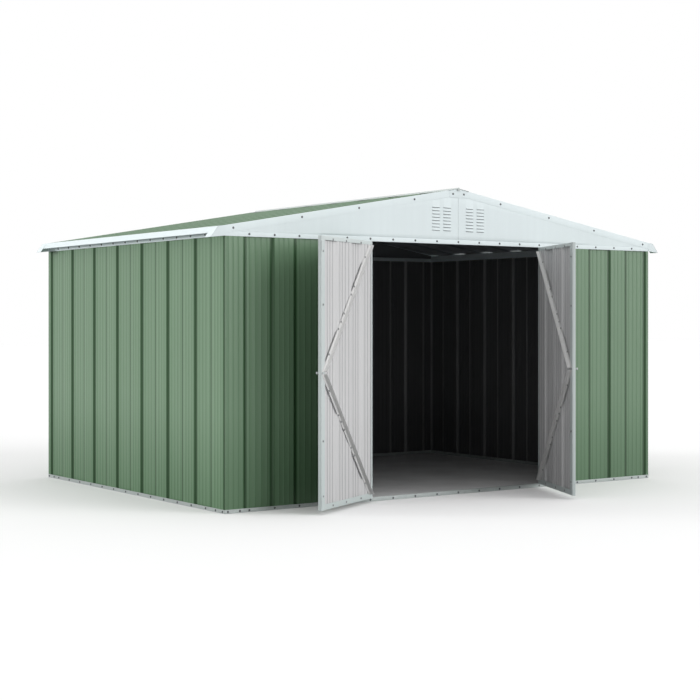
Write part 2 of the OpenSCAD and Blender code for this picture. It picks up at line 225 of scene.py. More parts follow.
def made(name, shells, finishes):
    """One object from closed shells of quads. A shell whose volume, the sum of
    a . (b x c) + a . (c x d) over its quads abcd / 6, comes out negative is turned
    round first, so every face points outwards."""
    points, quads, kinds, count = [], [], [], 0
    for shell_points, shell_quads, shell_kinds in shells:
        a, b, c, d = (shell_points[shell_quads[:, k]] - shell_points[0] for k in range(4))
        volume = (a * (np.cross(b, c) + np.cross(c, d))).sum()
        points.append(shell_points)
        quads.append((shell_quads if volume > 0 else shell_quads[:, ::-1]) + count)
        kinds.append(shell_kinds)
        count += len(shell_points)
    quads = np.vstack(quads).astype(np.int32)
    mesh = bpy.data.meshes.new(name)
    mesh.vertices.add(count)
    mesh.vertices.foreach_set("co", np.vstack(points).astype(np.float32).ravel())
    mesh.loops.add(quads.size)
    mesh.loops.foreach_set("vertex_index", quads.ravel())
    mesh.polygons.add(len(quads))
    mesh.polygons.foreach_set("loop_start", np.arange(0, quads.size, 4, dtype=np.int32))
    mesh.polygons.foreach_set("material_index", np.minimum(
        np.concatenate(kinds), len(finishes) - 1).astype(np.int32))
    mesh.polygons.foreach_set("use_smooth", np.ones(len(quads), bool))
    mesh.update(calc_edges=True)
    mesh.set_sharp_from_angle(angle=math.radians(40))
    for finish in finishes:
        mesh.materials.append(finish)
    piece = bpy.data.objects.new(name, mesh)
    bpy.context.scene.collection.objects.link(piece)
    return piece


def fitted(piece, body, cad_node=None):
    """Gives a piece the body that carries it, and lets it take the place of the CAD node
    that it is the finer shape of."""
    if cad_node:
        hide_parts(cad_node)
    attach(piece, body)


def ends(cad_node):
    """Low and high corner of a CAD node's box, as arrays."""
    return (np.array(place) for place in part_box(cad_node))


def corner(cad_node, *directions):
    """Corner of a CAD node's box that lies furthest back along all the directions."""
    low, high = ends(cad_node)
    return np.where(np.sum(directions, axis=0) >= 0, low, high)


def tone_and_relief(tree, place, colour, drift, grain, spots, relief):
    """Colour scaled by 1 + drift * a broad noise + grain * a fine one, both around 0, and
    a bump in metres from the fine one. Spots is the fine noise's scale per metre."""
    broad = node(tree, "TexNoise", {"Vector": place, "Scale": 1.3, "Detail": 2.0}).outputs[0]
    fine = node(tree, "TexNoise", {"Vector": place, "Scale": spots, "Detail": 3.0}).outputs[0]
    level = maths(tree, "MULTIPLY_ADD", broad, drift, 1 - drift / 2 - grain / 2)
    level = maths(tree, "MULTIPLY_ADD", fine, grain, level)
    tone = node(tree, "VectorMath", {0: colour[:3], "Scale": level},
                operation="SCALE").outputs[0]
    bump = node(tree, "Bump", {"Height": fine, "Distance": relief}).outputs[0]
    return tone, bump, fine


def galvanised(name, colour, rough, metal):
    """Zinc coating: flat crystals some 15 mm wide, each a little lighter or darker and
    duller or brighter than the next, under a fine grain."""
    finish = bpy.data.materials.new(name)
    finish.use_nodes = True
    tree = finish.node_tree
    place = node(tree, "TexCoord").outputs["Object"]
    tone, bump, _ = tone_and_relief(tree, place, colour, drift=0.12, grain=0.1, spots=320,
                                    relief=0.00008)
    crystal = node(tree, "TexVoronoi", {"Vector": place, "Scale": 70.0})
    shade = node(tree, "SeparateXYZ", {0: crystal.outputs["Color"]}).outputs["X"]
    tone = node(tree, "VectorMath", {0: tone, "Scale": maths(
        tree, "MULTIPLY_ADD", shade, 0.1, 0.95)}, operation="SCALE").outputs[0]
    shader = tree.nodes["Principled BSDF"]
    shader.inputs["Metallic"].default_value = metal
    tree.links.new(tone, shader.inputs["Base Color"])
    tree.links.new(maths(tree, "MULTIPLY_ADD", shade, 0.12, rough),
                   shader.inputs["Roughness"])
    tree.links.new(bump, shader.inputs["Normal"])
    return finish


def u_rail(cad_node, along, inward, opens):
    """Mitred U rail in its CAD node's box. Its section is the folded line down one lip,
    across the web and up the other; a run at depth p ends at +-(length / 2 - p)."""
    low, high = ends(cad_node)
    size = high - low
    length, width, height = (abs(np.dot(size, v)) for v in (along, inward, opens))
    line = folded([(0, height), (0, 0), (width, 0), (width, height)], rail_bend)
    shell = skin(line, steel_t, [-1.0, -0.5, 0.0, 0.5, 1.0])
    shell[0][:, 2] *= length / 2 - shell[0][:, 0]
    origin = corner(cad_node, along, inward, opens) + np.array(along) * length / 2
    return set_in(shell, origin, inward, opens, along)


zinc = galvanised("zinc_coating", zinc_colour, 0.42, 0.35)
for cad_node, along, inward in (
        ("base_rail_front", (1, 0, 0), (0, 1, 0)), ("base_rail_back", (1, 0, 0), (0, -1, 0)),
        ("base_rail_left", (0, 1, 0), (1, 0, 0)), ("base_rail_right", (0, 1, 0), (-1, 0, 0))):
    rail = made("folded_" + cad_node, [u_rail(cad_node, along, inward, (0, 0, 1))], [zinc])
    fitted(rail, "shed", cad_node)

# ---------------- corner brackets
# Angle plates of the same steel, wrapped round the four corners of the base rails.
# Two hexagon washer-head screws hold each leg.
bracket_reach = 0.140
bracket_bend = 0.003
bracket_screws = (0.026, 0.116)
head_radii = np.array([0.0077, 0.0077, 0.0062, 0.0050, 0.0050, 0.0042])
head_heights = np.array([0.0, 0.0007, 0.0011, 0.0012, 0.0036, 0.0040])
head_hexagon = np.array([0, 0, 0, 1, 1, 0])


def screw_heads(places, outward):
    """All the heads as one shell of quads. Ring k of a head lies at head_heights[k] on its
    axis and has the radius head_radii[k], divided on the hexagon by
    cos(a mod 60 degrees - 30 degrees) at the angle a. Each head is turned 2.4 rad more
    than the one before. Places and outward are (n, 3), or one direction for all."""
    places = np.asarray(places, float)
    n, sides = len(places), 12
    axis = np.broadcast_to(np.asarray(outward, float), places.shape)
    axis = axis / np.linalg.norm(axis, axis=1, keepdims=True)
    across = np.cross(axis, (0.31, 0.42, 0.85))
    across /= np.linalg.norm(across, axis=1, keepdims=True)
    upward = np.cross(axis, across)
    a = np.arange(sides) * 2 * math.pi / sides
    flat = np.cos(a % (math.pi / 3) - math.pi / 6)
    radii = head_radii[:, None] / np.where(head_hexagon[:, None] == 1, flat, 1.0)
    turns = a + 2.4 * np.arange(n)[:, None]
    spokes = (np.cos(turns)[..., None] * across[:, None]
              + np.sin(turns)[..., None] * upward[:, None])
    points = (places[:, None, None] + radii[None, ..., None] * spokes[:, None]
              + head_heights[None, :, None, None] * axis[:, None, None])
    at = np.arange(n * len(head_radii) * sides).reshape(n, len(head_radii), sides)
    beside = np.roll(at, -1, axis=2)
    walls = np.stack([at[:, :-1], beside[:, :-1], beside[:, 1:], at[:, 1:]], -1)
    j = np.arange(sides // 2 - 1)
    lid = np.stack([j, j + 1, sides - 2 - j, sides - 1 - j], 1)
    quads = np.vstack([walls.reshape(-1, 4), at[:, -1][:, lid].reshape(-1, 4),
                       at[:, 0][:, lid[:, ::-1]].reshape(-1, 4)])
    return points.reshape(-1, 3), quads, np.zeros(len(quads), int)


bracket_low, bracket_high = ends("base_corner_brackets")
bracket_h = bracket_high[2] - bracket_low[2]
bracket_line = folded([(0, bracket_reach), (0, 0), (bracket_reach, 0)], bracket_bend)
brackets, bracket_places, bracket_outward = [], [], []
for side in (-1, 1):
    for front in (-1, 1):
        outer = np.array([bracket_high[0] * side,
                          bracket_low[1] if front < 0 else bracket_high[1], bracket_low[2]])
        shell = skin(bracket_line, steel_t, [0.0, bracket_h])
        brackets.append(set_in(shell, outer, (-side, 0, 0), (0, -front, 0), (0, 0, 1)))
        for reach_in in bracket_screws:
            bracket_places += [outer + (-side * reach_in, 0, bracket_h / 2),
                               outer + (0, -front * reach_in, bracket_h / 2)]
            bracket_outward += [(0, front, 0), (side, 0, 0)]
screw_zinc = galvanised("screw_zinc", (0.085, 0.09, 0.095, 1), 0.34, 0.35)
bracket_piece = made("corner_bracket_plates", brackets, [zinc])
fitted(bracket_piece, "shed", "base_corner_brackets")
bracket_screw_piece = made("corner_bracket_screws",
                           [screw_heads(bracket_places, bracket_outward)], [screw_zinc])
fitted(bracket_screw_piece, "shed")

# ---------------- wall sheets
# Rolled steel sheets, stove-enamelled green outside and painted dark grey inside as the
# shade in the shed. Wide flats are sunk between narrow raised ribs, and fine beads in
# every flat keep it from drumming.
flank_w = 0.014
rib_depth = 0.010
rib_pitch = 0.390
valley_w = 0.236
bend_window = 0.005
# Shade painted in the creases: its level at each distance from the raised rib's edge into the
# sunken flat
crease_from_edge = np.array([-0.008, 0.0, flank_w, flank_w + 0.006, flank_w + 0.020])
crease_levels = (0.0, 0.5, 1.0, 1.0, 0.0)
swage_steps = np.linspace(-1, 1, 9) * 0.0075
rib_beads = np.array([0.0385, 0.077, 0.1155])
valley_beads = np.array([0.050, 0.0953, 0.1407, 0.186])
splash_h = 0.75
streak_scale = (26.0, 26.0, 0.7)
dent_scale = (4.5, 4.5, 1.6)
green = (0.152, 0.250, 0.155, 1)
# Dark grey painted on the walls' inner faces as the shade inside the shed
inside_shade_grey = (0.135, 0.137, 0.140, 1)


def rolled_line(first, length, pitch, bead=(0.005, 0.0014), darkening=(1.0, 0.15), swage=()):
    """Outer line of a rolled sheet as (along, depth), with its first sunken flat starting at
    first. With s the place within a pitch, the depth is rib_depth times
    min(s, valley_w - s) / flank_w cut to 0..1, taken as its mean over the bend window,
    less a bead (half width, height) of height * cos(90 degrees * d / half width)^2 at the
    distance d from its middle. A swage (start, end, height) stands out by its height,
    with flanks a third as wide. The second result is the crease level, read between the
    distances of crease_from_edge from the edge of the raised rib into the sunken flat.
    Darkening gives its share there and, with the bead's own curve, on the beads; the
    coat paints shade by these levels in the creases and along the beads."""
    beads = np.r_[valley_beads, valley_w + rib_beads]
    bead_half_w, bead_h = bead
    corners = np.array([0, flank_w, valley_w - flank_w, valley_w])
    feet = crease_from_edge[[0, 3, 4]]
    around = np.r_[(corners[:, None] + np.linspace(-0.5, 0.5, 5) * bend_window).ravel(),
                   (beads[:, None] + np.linspace(-1, 1, 7) * bead_half_w).ravel(),
                   feet, valley_w - feet]
    periods = np.arange(-1, math.ceil(length / pitch) + 1)
    along = np.sort(np.r_[(first + periods[:, None] * pitch + around).ravel(),
                          [edge + step for edge in swage[:2] for step in swage_steps]])
    along = along[(along > 0.001) & (along < length - 0.001)]
    along = np.r_[0, along, length]
    spread = along[:, None] + np.linspace(-0.5, 0.5, 11) * bend_window
    s = (spread - first) % pitch
    depth = rib_depth * np.clip(np.minimum(s, valley_w - s) / flank_w, 0, 1)
    if swage:
        within = np.minimum(spread - swage[0], swage[1] - spread)
        depth -= swage[2] * np.clip(within * 3 / flank_w, 0, 1)
    depth = depth.mean(1)
    away = np.abs(((along - first) % pitch)[:, None] - beads).min(1) / bead_half_w
    swell = np.cos(np.clip(away, 0, 1) * math.pi / 2) ** 2
    s = (along - first) % pitch
    sunk = np.where(s < valley_w, np.minimum(s, valley_w - s),
                    -np.minimum(s - valley_w, pitch - s))
    crease = darkening[0] * np.interp(sunk, crease_from_edge, crease_levels)
    return np.stack([along, depth - bead_h * swell], 1), np.maximum(crease, darkening[1] * swell)


def rolled_sheet(cad_node, shell, crease, finishes, body):
    """A rolled sheet from its skin in place. Its crease levels are kept on the points as the
    attribute of that name, from which the coat paints shade in the creases and along the
    beads, or highlights where its crease_shading is below 0."""
    sheet = made("rolled_" + cad_node, [shell], finishes)
    runs = len(shell[0]) // (2 * len(crease))
    mark = sheet.data.attributes.new("crease", "FLOAT", "POINT")
    mark.data.foreach_set("value", np.tile(np.r_[crease, crease[::-1]], runs)
                          .astype(np.float32))
    fitted(sheet, body, cad_node)


def coat(name, colour, rough, streaks=0.05, foot_darkening=0.20, dents=0.0009, crease_shading=0.9):
    """Baked enamel on sheet steel: broad and fine changes of tone, faint upright streaks
    that the rain leaves, an orange-peel relief and the shallow dents of thin sheet. The
    colour is raised to the power 1 + crease_shading * the crease level + foot_darkening,
    which grows from nothing at splash_h to all of it at the foot of the wall. That is
    shade painted in the creases and along the beads, a painted highlight there where
    crease_shading is below 0, and a darkening towards the foot, where the sheet is also
    duller."""
    finish = bpy.data.materials.new(name)
    finish.use_nodes = True
    tree = finish.node_tree
    place = node(tree, "TexCoord").outputs["Object"]
    tone, peel, fine = tone_and_relief(tree, place, colour, drift=0.08, grain=0.06, spots=450,
                                       relief=0.00003)
    upright = node(tree, "Mapping", {"Vector": place, "Scale": streak_scale}).outputs[0]
    runs = node(tree, "TexNoise", {"Vector": upright, "Scale": 1.0, "Detail": 3.0}).outputs[0]
    streaked = maths(tree, "MULTIPLY_ADD", runs, streaks * 2, 1 - streaks)
    tone = node(tree, "VectorMath", {0: tone, "Scale": streaked}, operation="SCALE").outputs[0]
    height = node(tree, "SeparateXYZ", {0: place}).outputs["Z"]
    # Darker and duller towards the foot of the wall, from splash_h down
    low = node(tree, "MapRange", {"Value": height, "From Min": splash_h, "From Max": 0.0,
                                  "To Min": 0.0, "To Max": foot_darkening},
               interpolation_type="SMOOTHSTEP").outputs[0]
    darker_near_foot = maths(tree, "MULTIPLY", low, maths(tree, "MULTIPLY_ADD", runs, 0.4, 0.8))
    # Painted shade in the creases and along the beads, read from the crease attribute
    crease = node(tree, "Attribute", attribute_name="crease").outputs["Fac"]
    darkening = maths(tree, "ADD", maths(tree, "MULTIPLY_ADD", crease, crease_shading, 1.0), darker_near_foot)
    tone = node(tree, "Gamma", {"Color": tone, "Gamma": darkening}).outputs[0]
    hollow = node(tree, "Mapping", {"Vector": place, "Scale": dent_scale}).outputs[0]
    swell = node(tree, "TexNoise", {"Vector": hollow, "Scale": 1.0, "Detail": 1.0}).outputs[0]
    relief = node(tree, "Bump", {"Height": swell, "Distance": dents, "Normal": peel})
    shader = tree.nodes["Principled BSDF"]
    shader.inputs["Specular IOR Level"].default_value = 0.3
    tree.links.new(tone, shader.inputs["Base Color"])
    gloss = maths(tree, "MULTIPLY_ADD", fine, 0.12, rough - 0.06)
    tree.links.new(maths(tree, "MULTIPLY_ADD", darker_near_foot, 0.5, gloss), shader.inputs["Roughness"])
    tree.links.new(relief.outputs[0], shader.inputs["Normal"])
    return finish


# Shade is painted in the creases of the walls' green outer faces. Their inner faces are painted
# dark grey as the shade inside the shed, with highlights painted in the creases.
green_coat = coat("green_enamel", green, 0.33)
inside_shade_coat = coat("painted_inside_shade", inside_shade_grey, 0.38, crease_shading=-0.5)
east, west, north, south, up = (1, 0, 0), (-1, 0, 0), (0, 1, 0), (0, -1, 0), (0, 0, 1)
front_left_first, front_right_first = 0.141, 0.103
side_first, side_next = 0.172, 0.077
back_pitch, back_first = 0.385, 0.0885
for cad_node, along, inward, first, pitch in (
        ("front_wall_left", east, north, front_left_first, rib_pitch),
        ("front_wall_right", east, north, front_right_first, rib_pitch),
        ("back_wall_left", east, south, back_first, back_pitch),
        ("back_wall_right", west, south, back_first, back_pitch),
        ("left_wall_front", north, east, side_first, rib_pitch),
        ("left_wall_back", north, east, side_next, rib_pitch),
        ("right_wall_front", south, west, side_next, rib_pitch),
        ("right_wall_back", south, west, side_first, rib_pitch)):
    low, high = ends(cad_node)
    length = abs(np.dot(high - low, along))
    line, crease = rolled_line(first, length, pitch)
    shell = set_in(skin(line, steel_t, np.linspace(0, high[2] - low[2], 7)),
                   corner(cad_node, along, inward, up), along, inward, up)
    rolled_sheet(cad_node, shell, crease, [green_coat, inside_shade_coat], "shed")

# ---------------- base rail screws
# One row of the same zinc-plated screws goes through the middle of each base rail into
# the wall sheets that stand in it.
screw_pitch = 0.195
side_screw_middle = 1.402
rail_mid = (rail_low.z + rail_high.z) / 2
front_steps = np.arange(-9, 10) * screw_pitch
side_steps = np.arange(-6, 7) * screw_pitch + side_screw_middle


def row(x, y, z):
    """Places in a line: the values given as arrays, the others repeated."""
    return np.stack(np.broadcast_arrays(x, y, z), -1).astype(float)


def screws_round(height, side_places):
    """Rows of heads at one height on the front, back, left and right faces of the rails."""
    return [screw_heads(row(front_steps, rail_low.y, height), south),
            screw_heads(row(front_steps, back_rail_high.y, height), north),
            screw_heads(row(rail_low.x, side_places, height), west),
            screw_heads(row(rail_high.x, side_places, height), east)]


rail_screws = made("base_rail_screws", screws_round(rail_mid, side_steps), [screw_zinc])
fitted(rail_screws, "shed")

# ---------------- door jambs
# Upright channels of pale enamelled steel close the front sheets at both sides of the
# doorway. Their closed side faces the opening and carries the hinges.
pale = (0.73, 0.81, 0.825, 1)
jamb_bend = 0.002
pale_coat = coat("pale_enamel", pale, 0.40, streaks=0.03, foot_darkening=0.15, dents=0.0004)


def channel(origin, across, along, width, depth, length):
    """Open channel with its closed side at the origin and both lips reaching across."""
    line = folded([(width, depth), (0, depth), (0, 0), (width, 0)], jamb_bend)
    return set_in(skin(line, steel_t, np.linspace(0, length, 5)), origin, across, north, along)


for cad_node, away in (("door_jamb_left", west), ("door_jamb_right", east)):
    low, high = ends(cad_node)
    jamb = made("channel_" + cad_node, [channel(
        corner(cad_node, away, north, up), away, up, *(high - low))], [pale_coat])
    fitted(jamb, "shed", cad_node)

# ---------------- top rails
# The same U section of pale enamelled steel, upside down over the walls and screwed to
# them. Those over the side walls are deeper, with ends that step down under the gables.
gable_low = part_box("top_rail_front")[1].z
down = (0, 0, -1)
step_in = 0.033
top_screw_z = 1.8165
top_screw_pitch, top_screw_middle = 0.1955, 1.412
for cad_node, along, inward in (
        ("top_rail_front", east, north), ("top_rail_back", east, south)):
    rail = made("folded_" + cad_node, [u_rail(cad_node, along, inward, down)], [pale_coat])
    fitted(rail, "shed", cad_node)
for cad_node, inward in (("top_rail_left", east), ("top_rail_right", west)):
    low, high = ends(cad_node)
    width, length, height = high - low
    line = folded([(0, height), (0, 0), (width, 0), (width, height)], rail_bend)
    # Seven runs: at each end the mitred tip and both sides of the step, and the middle
    stations = np.array([-1.0, -1.0, -1.0, 0.0, 1.0, 1.0, 1.0])
    short = length / 2 - step_in
    shell = skin(line, steel_t, stations)
    p, q, run = (shell[0][:, k].reshape(7, -1) for k in range(3))
    reach_out = np.stack([length / 2 - p[0], np.full(p.shape[1], short),
                          np.full(p.shape[1], short)], 0)
    run[:] = stations[:, None] * np.vstack([reach_out, np.zeros((1, p.shape[1])),
                                            reach_out[::-1]])
    drop = high[2] - gable_low
    q[[0, 1, 5, 6]] = drop + q[[0, 1, 5, 6]] * (height - drop) / height
    origin = corner(cad_node, north, inward, down) + np.array(north) * length / 2
    shell = (np.stack([p, q, run], -1).reshape(-1, 3),) + shell[1:]
    rail = made("folded_" + cad_node,
                [set_in(shell, origin, inward, down, north)], [pale_coat])
    fitted(rail, "shed", cad_node)

top_steps = np.arange(-6, 7) * top_screw_pitch + top_screw_middle
top_screws = made("top_rail_screws", screws_round(top_screw_z, top_steps), [screw_zinc])
fitted(top_screws, "shed")

# ---------------- gables
# Flat pale sheets, two at each end, that meet under the ridge. Every edge is folded
# inwards, and each front sheet has two columns of pressed louvres, open underneath.
ridge_h = 2.2
eave_edge_h = 1.868
roof_fall = (ridge_h - eave_edge_h) / rail_high.x
slope = math.atan(roof_fall)
gable_seam = 0.0007
fold_r = 0.0012
fold_depth = 0.0249
plain_strip = 0.030
full_height_x = 0.25
louvre_middles = np.array([0.104, 0.205])
louvres_past = 0.27
louvre_half_w = 0.035
louvre_end = 0.008
louvre_pitch = 0.0233
louvre_gap = 0.0035
louvre_out = 0.0042
louvre_count = 8
louvre_low = 0.060
hood_z = np.array([0.0, 1.0, 1.5, 2.5, 4.0, 5.0]) * louvre_gap
hood_rise = np.array([0.0, 1.0, 0.95, 0.65, 0.18, 0.0])


def pressed_sheet(name, grid, kept, outward, finishes):
    """Sheet from a grid of points (rows, columns, 3), with the cells that are not kept left
    open and every rim, where an edge has one quad only, marked sharp. Solidify gives it
    the sheet's thickness on its inner side."""
    rows, columns = grid.shape[:2]
    at = np.arange(rows * columns).reshape(rows, columns)
    quads = np.stack([at[:-1, :-1], at[:-1, 1:], at[1:, 1:], at[1:, :-1]], -1)[kept]
    flat = grid.reshape(-1, 3)
    a, b, d = flat[quads[:, 0]], flat[quads[:, 1]], flat[quads[:, 3]]
    if (np.cross(b - a, d - a) @ np.array(outward, float)).sum() < 0:
        quads = quads[:, ::-1]
    used, numbers = np.unique(quads, return_inverse=True)
    mesh = bpy.data.meshes.new(name)
    mesh.from_pydata(flat[used].tolist(), [], numbers.reshape(quads.shape).tolist())
    mesh.polygons.foreach_set("use_smooth", np.ones(len(quads), bool))
    mesh.set_sharp_from_angle(angle=math.radians(40))
    sharp, edge_of = np.empty(len(mesh.edges), bool), np.empty(len(mesh.loops), np.int32)
    mesh.edges.foreach_get("use_edge_sharp", sharp)
    mesh.loops.foreach_get("edge_index", edge_of)
    at_a_rim = np.bincount(edge_of, minlength=len(sharp)) == 1
    mesh.edges.foreach_set("use_edge_sharp", sharp | at_a_rim)
    for finish in finishes:
        mesh.materials.append(finish)
    piece = bpy.data.objects.new(name, mesh)
    bpy.context.scene.collection.objects.link(piece)
    wall = piece.modifiers.new("sheet", "SOLIDIFY")
    wall.thickness = steel_t
    wall.offset = -1
    wall.use_even_offset = True
    wall.material_offset = len(finishes) - 1
    return piece


def gable_grid(side, outer_y, inward, top_z, end_x):
    """Points of one gable sheet. Its rows run up from the back of the lower fold, over
    the face and to the back of the upper fold: z = low + s(x) * (row - low) with
    s = 1 near the middle and falling with the roof outside, and on a louvre the face
    stands out by louvre_out * its rise * a smooth step to its ends."""
    slots = gable_low + louvre_low + louvre_pitch * np.arange(louvre_count)
    face_z = (slots[:, None] + hood_z).ravel()
    face_rise = np.tile(hood_rise, louvre_count)
    plain_z = np.r_[gable_low + fold_r, gable_low + plain_strip]
    z = np.r_[gable_low, gable_low, gable_low + fold_r * 0.3, plain_z, face_z]
    depth = np.r_[fold_depth, fold_r, fold_r * 0.3, np.zeros(len(plain_z) + len(face_z))]
    rise = np.r_[np.zeros(3 + len(plain_z)), face_rise]
    slot_x = np.array([-0.002, 0, 0.002, 0.004, louvre_end]) - louvre_half_w
    near = (louvre_middles[:, None] + np.r_[slot_x, -slot_x[::-1]]).ravel()
    x = np.r_[gable_seam, near, np.linspace(louvres_past, end_x, 14)]
    top = top_z - roof_fall * (x - gable_seam)
    full = top_z - roof_fall * full_height_x - gable_low
    shrink = np.minimum(1, (top - gable_low) / full)
    body_z = gable_low + (z[:, None] - gable_low) * shrink
    end_rows = top - np.array([fold_r, fold_r * 0.3, 0, 0])[:, None]
    end_depth = np.array([0, fold_r * 0.3, fold_r, fold_depth])
    away = np.abs(x[:, None] - louvre_middles).min(1)
    ramp = np.clip((louvre_half_w - away) / louvre_end, 0, 1)
    ramp = ramp * ramp * (3 - 2 * ramp)
    body_depth = depth[:, None] - louvre_out * rise[:, None] * ramp
    all_z = np.vstack([body_z, end_rows])
    all_depth = np.vstack([body_depth, np.broadcast_to(end_depth[:, None],
                                                       (4, len(x)))])
    grid = np.stack([np.broadcast_to(side * x, all_z.shape),
                     outer_y + inward * all_depth, all_z], -1)
    first = 3 + len(plain_z)
    slot_rows = first + len(hood_z) * np.arange(louvre_count)
    is_slot_row = np.isin(np.arange(len(all_z) - 1), slot_rows)
    middle = (x[:-1] + x[1:]) / 2
    is_slot_column = np.abs(middle[:, None] - louvre_middles).min(1) < louvre_half_w
    return grid, is_slot_row[:, None] & is_slot_column


gable_backing = coat("gable_backing", (0.22, 0.235, 0.25, 1), 0.5)
for cad_node, side, outward in (
        ("front_gable_left", -1, south), ("front_gable_right", 1, south),
        ("back_gable_left", -1, north), ("back_gable_right", 1, north)):
    low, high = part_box(cad_node)
    outer_y = low.y if outward is south else high.y
    grid, slots = gable_grid(side, outer_y, -outward[1], high.z, max(high.x, -low.x))
    kept = ~slots if outward is south else np.ones_like(slots)
    if outward is north:
        grid[..., 1] = np.clip(grid[..., 1], low.y, outer_y)
    gable = pressed_sheet("folded_" + cad_node, grid, kept, outward,
                          [pale_coat, gable_backing])
    fitted(gable, "shed", cad_node)

# ---------------- verge trims
# Angles of the pale steel over the sloping edges of the roof: one leg on the roof
# sheets, the other down the face of the gable with a row of screws.
verge_leg = 0.050
verge_top = 0.040
verge_bend = 0.002
ridge_gap = 0.010
roof_out = 0.045
slope_len = (rail_high.x + roof_out) / math.cos(slope)
down_slope = np.array([math.cos(slope), 0, -math.sin(slope)])
off_slope = np.array([math.sin(slope), 0, math.cos(slope)])
verge_screw_x = np.array([0.398, 0.877, 1.345, 1.877])
verge_screw_drop = 0.025
verge_line = folded([(verge_top, 0), (0, 0), (0, -verge_leg)], verge_bend)
for cad_node, outward in (("front_verge_trims", south), ("back_verge_trims", north)):
    low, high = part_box(cad_node)
    outer_y = low.y if outward is south else high.y
    origin = np.array([0, outer_y, ridge_h])
    shell = set_in(skin(verge_line, steel_t, np.linspace(ridge_gap, slope_len, 9)),
                   origin, (0, -outward[1], 0), off_slope, down_slope)
    trims = made("folded_" + cad_node, [shell, mirrored(shell)], [pale_coat])
    fitted(trims, "shed", cad_node)
    places = row(verge_screw_x, outer_y, ridge_h - roof_fall * verge_screw_x
                 - verge_screw_drop / math.cos(slope))
    screws = made(cad_node.replace("trims", "screws"), [
        screw_heads(places, outward), screw_heads(places * (-1, 1, 1), outward)],
        [screw_zinc])
    fitted(screws, "shed")

# ---------------- ridge plates
# A small flat plate of the pale steel covers each gable seam under the end of the ridge
# cap, held by two screws.
plate_low, plate_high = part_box("gable_ridge_plates")
plate_screw_x = 0.050
plate_screw_z = 2.161
plate_edge = 0.0003
plate_line = np.array([(plate_low.x, 0), (0, 0), (plate_high.x, 0)])
plates, plate_screws = [], []
for outer_y, outward in ((plate_low.y, south), (plate_high.y, north)):
    plates.append(set_in(skin(plate_line, steel_t, [plate_low.z, plate_high.z]),
                         (0, outer_y, 0), east, (0, -outward[1], 0), up))
    plate_screws.append(screw_heads(row(np.array([-1, 1]) * plate_screw_x, outer_y,
                                        plate_screw_z), outward))
ridge_plates = made("ridge_plates", plates, [pale_coat])
rounding = ridge_plates.modifiers.new("edges", "BEVEL")
rounding.width = plate_edge
rounding.segments = 2
fitted(ridge_plates, "shed", "gable_ridge_plates")
ridge_plate_screws = made("ridge_plate_screws", plate_screws, [screw_zinc])
fitted(ridge_plate_screws, "shed")

# ---------------- roof sheets
# The same rolled sheets as on the walls, with their ribs running from the ridge down to
# the eaves, where they end under the eave trims.
roof_first = 0.095
# Shade is painted in the roof's creases at half the walls' strength. The roof sheets' inner face
# is painted mid grey as the shade under the roof, lighter than on the walls' inner faces.
roof_coat = coat("roof_enamel", green, 0.42, crease_shading=0.45)
ceiling_shade_coat = coat("painted_ceiling_shade", (0.42, 0.44, 0.47, 1), 0.5)
roof_start_y = rail_low.y + steel_t
roof_len = back_rail_high.y - rail_low.y - 2 * steel_t
roof_split = roof_first + 4 * rib_pitch - (rib_pitch - valley_w) / 2
for cad_node, side, start, first, length in (
        ("roof_right_front", 1, 0.0, roof_first, roof_split),
        ("roof_right_back", 1, roof_split, side_next, roof_len - roof_split),
        ("roof_left_front", -1, 0.0, roof_first, roof_split),
        ("roof_left_back", -1, roof_split, side_next, roof_len - roof_split)):
    facing = np.array([side, 1, 1])
    line, crease = rolled_line(first, length, rib_pitch)
    origin = np.array([0, roof_start_y + start, ridge_h]) - steel_t * off_slope * facing
    shell = set_in(skin(line, steel_t, np.linspace(ridge_gap, slope_len, 9)), origin,
                   north, -off_slope * facing, down_slope * facing)
    rolled_sheet(cad_node, shell, crease, [roof_coat, ceiling_shade_coat], "shed")

# ---------------- ridge cap
# Grey capping rolled in one length: two flat wings on the roof sheets, a round crown over
# the ridge line, and a small drip fold along each wing. A small plate stops each end.
cap_low, cap_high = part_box("ridge_cap")
cap_w = cap_high.x
crown_r = cap_high.z - ridge_h
cap_lift = steel_t / math.cos(slope)
cap_t = steel_t * 0.9
crown_foot = crown_r * 1.5
crown_from = 14
drip_fold, cap_bend = 0.0005, 0.001
stopper_t = 0.0008
cap_set_back = 0.0002
crown_turn = np.radians(np.linspace(crown_from, 180 - crown_from, 13))
crown = np.stack([crown_r * np.cos(crown_turn), ridge_h + crown_r * np.sin(crown_turn)], 1)
wing = folded([(cap_w, ridge_h - roof_fall * cap_w - drip_fold),
               (cap_w, ridge_h - roof_fall * cap_w + cap_lift),
               (crown_foot, ridge_h - roof_fall * crown_foot + cap_lift)], cap_bend)
cap_line = np.vstack([wing, crown, wing[::-1] * (-1, 1)])
cap_coat = coat("capping_enamel", (0.50, 0.545, 0.53, 1), 0.40, streaks=0.03, dents=0.0003)
cap_parts = [skin(cap_line, cap_t, np.linspace(cap_low.y, cap_high.y, 15))]
stopper_line = cap_line[len(wing) - 1:len(wing) + len(crown) + 1] - (0, cap_set_back * 2)
for start in (cap_low.y + cap_set_back, cap_high.y - cap_set_back - stopper_t):
    stopper = skin(stopper_line, steel_t, [start, start + stopper_t])
    faces = stopper[0].reshape(2, 2, len(stopper_line), 3)
    faces[:, 1, :, 0] = stopper_line[::-1, 0]
    faces[:, 1, :, 1] = cap_low.z + cap_set_back
    cap_parts.append(stopper)
cap = made("ridge_capping", [set_in(part, (0, 0, 0), east, up, north)
                             for part in cap_parts], [cap_coat])
fitted(cap, "shed", "ridge_cap")

